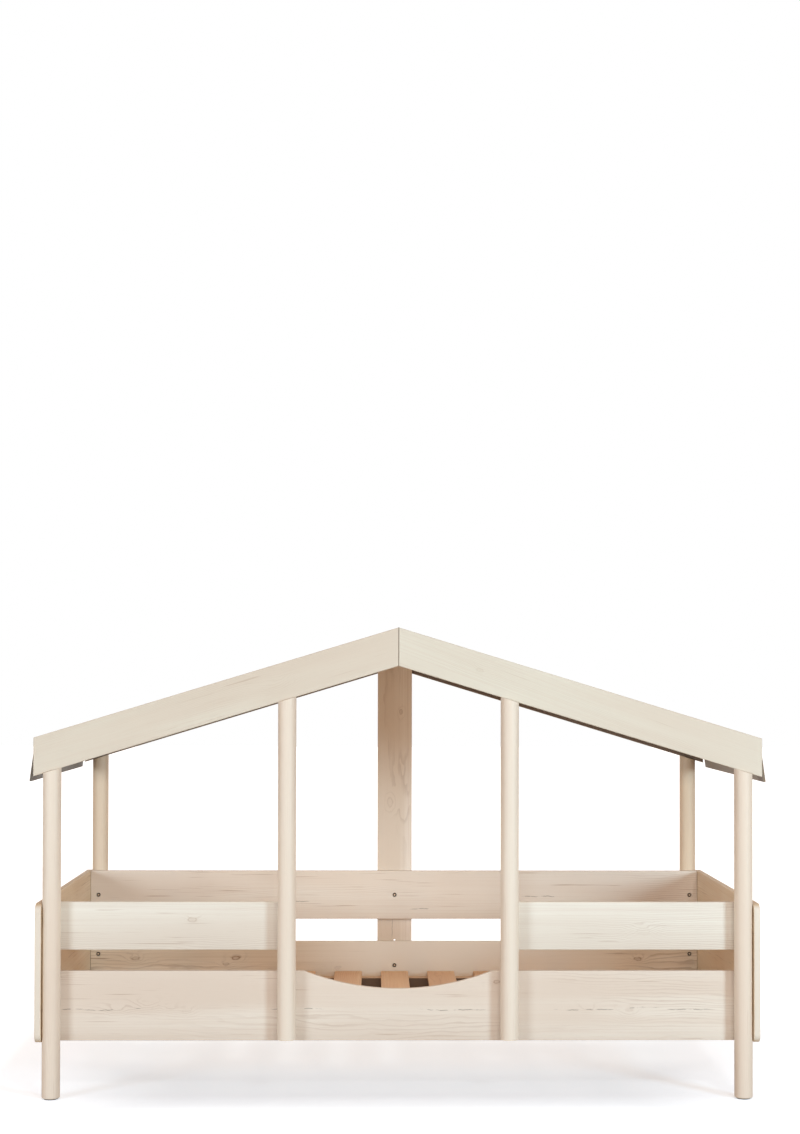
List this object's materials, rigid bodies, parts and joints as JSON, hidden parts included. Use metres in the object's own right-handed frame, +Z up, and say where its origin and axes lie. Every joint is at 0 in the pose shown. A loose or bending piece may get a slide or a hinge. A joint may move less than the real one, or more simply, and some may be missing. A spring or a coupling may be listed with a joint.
{
  "type": "house frame bed",
  "caption": "Low child's bed in light wood with round posts carrying a pitched house roof, board rails with a scooped entry, plain end panels and a slatted mattress base.",
  "frame": {"origin": "centre of the footprint, on the floor", "axes": "+X along the bed to the right seen from the entry side, +Y from the entry side to the back, +Z up"},
  "size_m": [2.0988, 1.057, 1.338],
  "materials": {
    "rail_boards": "matt clear lacquer on light solid wood",
    "roof_boards": "matt clear lacquer on light solid wood",
    "posts": "matt clear lacquer on turned solid wood",
    "roof_deck": "matt plywood",
    "slats": "sanded, warmer toned wood",
    "ledgers": "sanded solid wood",
    "dowels": "plain hardwood",
    "glides": "matt",
    "fasteners": "zinc plated, satin"
  },
  "bodies": {
    "root": {"front_lower_rail": "rail_boards", "front_upper_rail_left": "rail_boards", "front_upper_rail_right": "rail_boards", "back_lower_rail": "rail_boards", "back_upper_rail": "rail_boards", "end_panel_left": "rail_boards", "end_panel_right": "rail_boards", "center_board": "rail_boards", "roof_board_front_left": "roof_boards", "roof_board_front_right": "roof_boards", "roof_board_back_left": "roof_boards", "roof_board_back_right": "roof_boards", "post_front_left": "posts", "post_front_right": "posts", "post_back_left": "posts", "post_back_right": "posts", "post_entry_left": "posts", "post_entry_right": "posts", "roof_deck_left": "roof_deck", "roof_deck_right": "roof_deck", "eave_board_left": "roof_deck", "eave_board_right": "roof_deck", "slat_01": "slats", "slat_02": "slats", "slat_03": "slats", "slat_04": "slats", "slat_05": "slats", "slat_06": "slats", "slat_07": "slats", "slat_08": "slats", "slat_09": "slats", "slat_10": "slats", "slat_11": "slats", "slat_12": "slats", "slat_13": "slats", "slat_ledger_front": "ledgers", "slat_ledger_back": "ledgers", "foot_glides": "glides", "rail_bolts": "fasteners", "center_board_bolts": "fasteners", "end_panel_bolts": "fasteners", "post_dowels": "dowels", "ridge_dowels": "dowels"}
  },
  "joints": []
}
